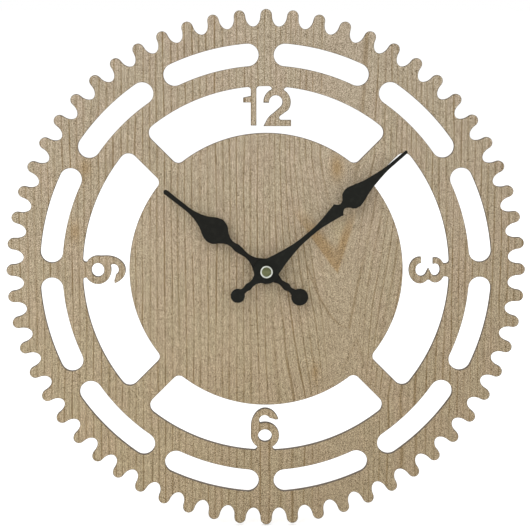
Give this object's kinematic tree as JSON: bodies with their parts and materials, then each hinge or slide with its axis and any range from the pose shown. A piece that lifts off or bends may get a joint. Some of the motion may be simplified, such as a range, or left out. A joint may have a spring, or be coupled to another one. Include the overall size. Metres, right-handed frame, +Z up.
{
  "type": "wall clock",
  "caption": "Wooden wall clock cut like a gear ring, with numerals standing in four open windows, black spade hands and a quartz movement behind the hub.",
  "frame": {"origin": "on the hand shaft's axis, in the plane of the wall", "axes": "+Z up, -Y out of the wall towards the viewer, +X to the viewer's right"},
  "size_m": [0.34, 0.0371, 0.34],
  "materials": {
    "oak_veneer": "satin",
    "hand_black": "satin",
    "cap_chrome": "polished",
    "nut_steel": "satin",
    "hanger_zinc": "satin",
    "gasket_rubber": "matte",
    "case_black": "matte",
    "cell_wrap": "gloss",
    "contact_nickel": "satin",
    "circuit_green": "satin",
    "can_steel": "satin",
    "chip_resin": "gloss",
    "white_nylon": "satin",
    "shaft_brass": "satin",
    "rotor_ferrite": "matte",
    "knob_black": "matte",
    "stator_iron": "satin",
    "winding_copper": "satin"
  },
  "bodies": {
    "clock": {"face_panel": "oak_veneer", "rubber_gasket": "gasket_rubber", "fixing_washer": "nut_steel", "fixing_nut": "nut_steel", "wall_hanger": "hanger_zinc", "movement_case_front": "case_black", "movement_case_rear": "case_black", "train_plate": "white_nylon", "battery_cell": "cell_wrap", "contact_positive": "contact_nickel", "contact_negative": "contact_nickel", "circuit_board": "circuit_green", "quartz_crystal": "can_steel", "chip_cover": "chip_resin", "coil_core": "stator_iron", "coil_bobbin": "white_nylon", "coil_winding": "winding_copper", "stator_plate": "stator_iron"},
    "minute_arm": {"centre_wheel": "shaft_brass", "minute_hand": "hand_black", "cap_nut": "cap_chrome"},
    "hour_arm": {"hour_wheel": "white_nylon", "hour_hand_collet": "shaft_brass", "hour_hand": "hand_black"},
    "minute_work": {"minute_wheel": "white_nylon", "setting_knob": "knob_black"},
    "third_arbor": {"third_wheel": "white_nylon"},
    "seconds_arbor": {"seconds_wheel": "white_nylon"},
    "fifth_arbor": {"fifth_wheel": "white_nylon"},
    "rotor": {"rotor_pinion": "white_nylon", "rotor_magnet": "rotor_ferrite"}
  },
  "joints": [
    {"name": "minute", "type": "hinge", "parent": "clock", "child": "minute_arm", "pos_m": [0, 0, 0], "axis": [0, 1, 0], "continuous": true},
    {"name": "hour", "type": "hinge", "parent": "clock", "child": "hour_arm", "pos_m": [0, 0, 0], "axis": [0, 1, 0], "continuous": true},
    {"name": "minute_wheel", "type": "hinge", "parent": "clock", "child": "minute_work", "pos_m": [0.009, 0, 0], "axis": [0, 1, 0], "continuous": true},
    {"name": "third", "type": "hinge", "parent": "clock", "child": "third_arbor", "pos_m": [-0.00701, 0, 0.00405], "axis": [0, 1, 0], "continuous": true},
    {"name": "seconds", "type": "hinge", "parent": "clock", "child": "seconds_arbor", "pos_m": [0, 0, 0], "axis": [0, 1, 0], "continuous": true},
    {"name": "fifth", "type": "hinge", "parent": "clock", "child": "fifth_arbor", "pos_m": [0.00214, 0, 0.008], "axis": [0, 1, 0], "continuous": true},
    {"name": "rotor", "type": "hinge", "parent": "clock", "child": "rotor", "pos_m": [0.00697, 0, 0.01205], "axis": [0, 1, 0], "continuous": true}
  ],
  "couplings": [
    {"joint": "hour", "follows": "minute", "ratio": 0.083333},
    {"joint": "minute_wheel", "follows": "minute", "ratio": -0.33333},
    {"joint": "third", "follows": "minute", "ratio": -7.5},
    {"joint": "seconds", "follows": "minute", "ratio": 60},
    {"joint": "fifth", "follows": "minute", "ratio": -300},
    {"joint": "rotor", "follows": "minute", "ratio": 1800}
  ]
}
